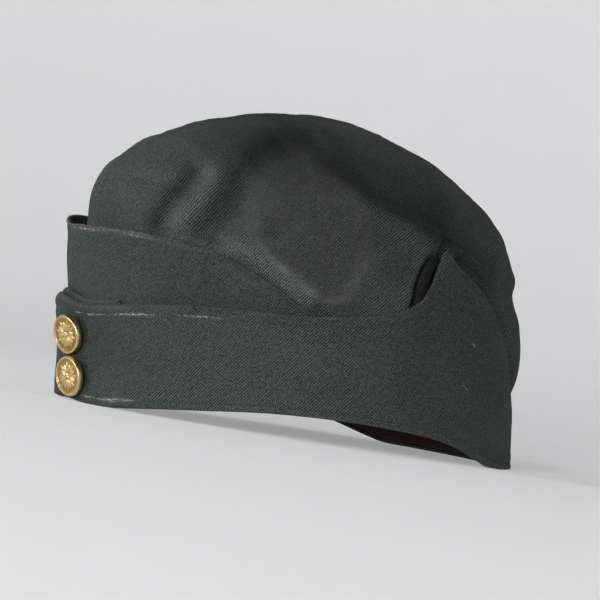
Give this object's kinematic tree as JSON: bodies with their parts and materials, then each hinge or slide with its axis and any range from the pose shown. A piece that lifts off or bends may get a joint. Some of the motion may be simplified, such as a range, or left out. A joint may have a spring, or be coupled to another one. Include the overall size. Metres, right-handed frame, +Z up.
{
  "type": "garrison cap",
  "caption": "Soft folding side cap of dark green twill with a turned-up curtain, a peaked front tier and brass buttons over the nose.",
  "frame": {"origin": "on the surface that the rim stands on, under the middle of the cap's footprint", "axes": "+Z up, -Y towards the nose with the buttons, +X towards the wearer's left"},
  "size_m": [0.1626, 0.212, 0.1366],
  "materials": {
    "crown_twill": "matt dark green twill",
    "peak_twill": "matt dark green twill",
    "curtain_twill": "matt dark green twill",
    "ply_cloth": "matt greyish brown cloth",
    "lining": "dark reddish brown cloth",
    "brass": "stamped brass with a warm tone and a raised rim"
  },
  "bodies": {
    "root": {"crown_left": "crown_twill", "crown_right": "crown_twill", "peak": "peak_twill", "curtain_left": "curtain_twill", "curtain_right": "curtain_twill", "lining_band": "lining", "slit_ply_left": "ply_cloth", "slit_ply_right": "ply_cloth", "button_upper": "brass", "button_lower": "brass"}
  },
  "joints": []
}
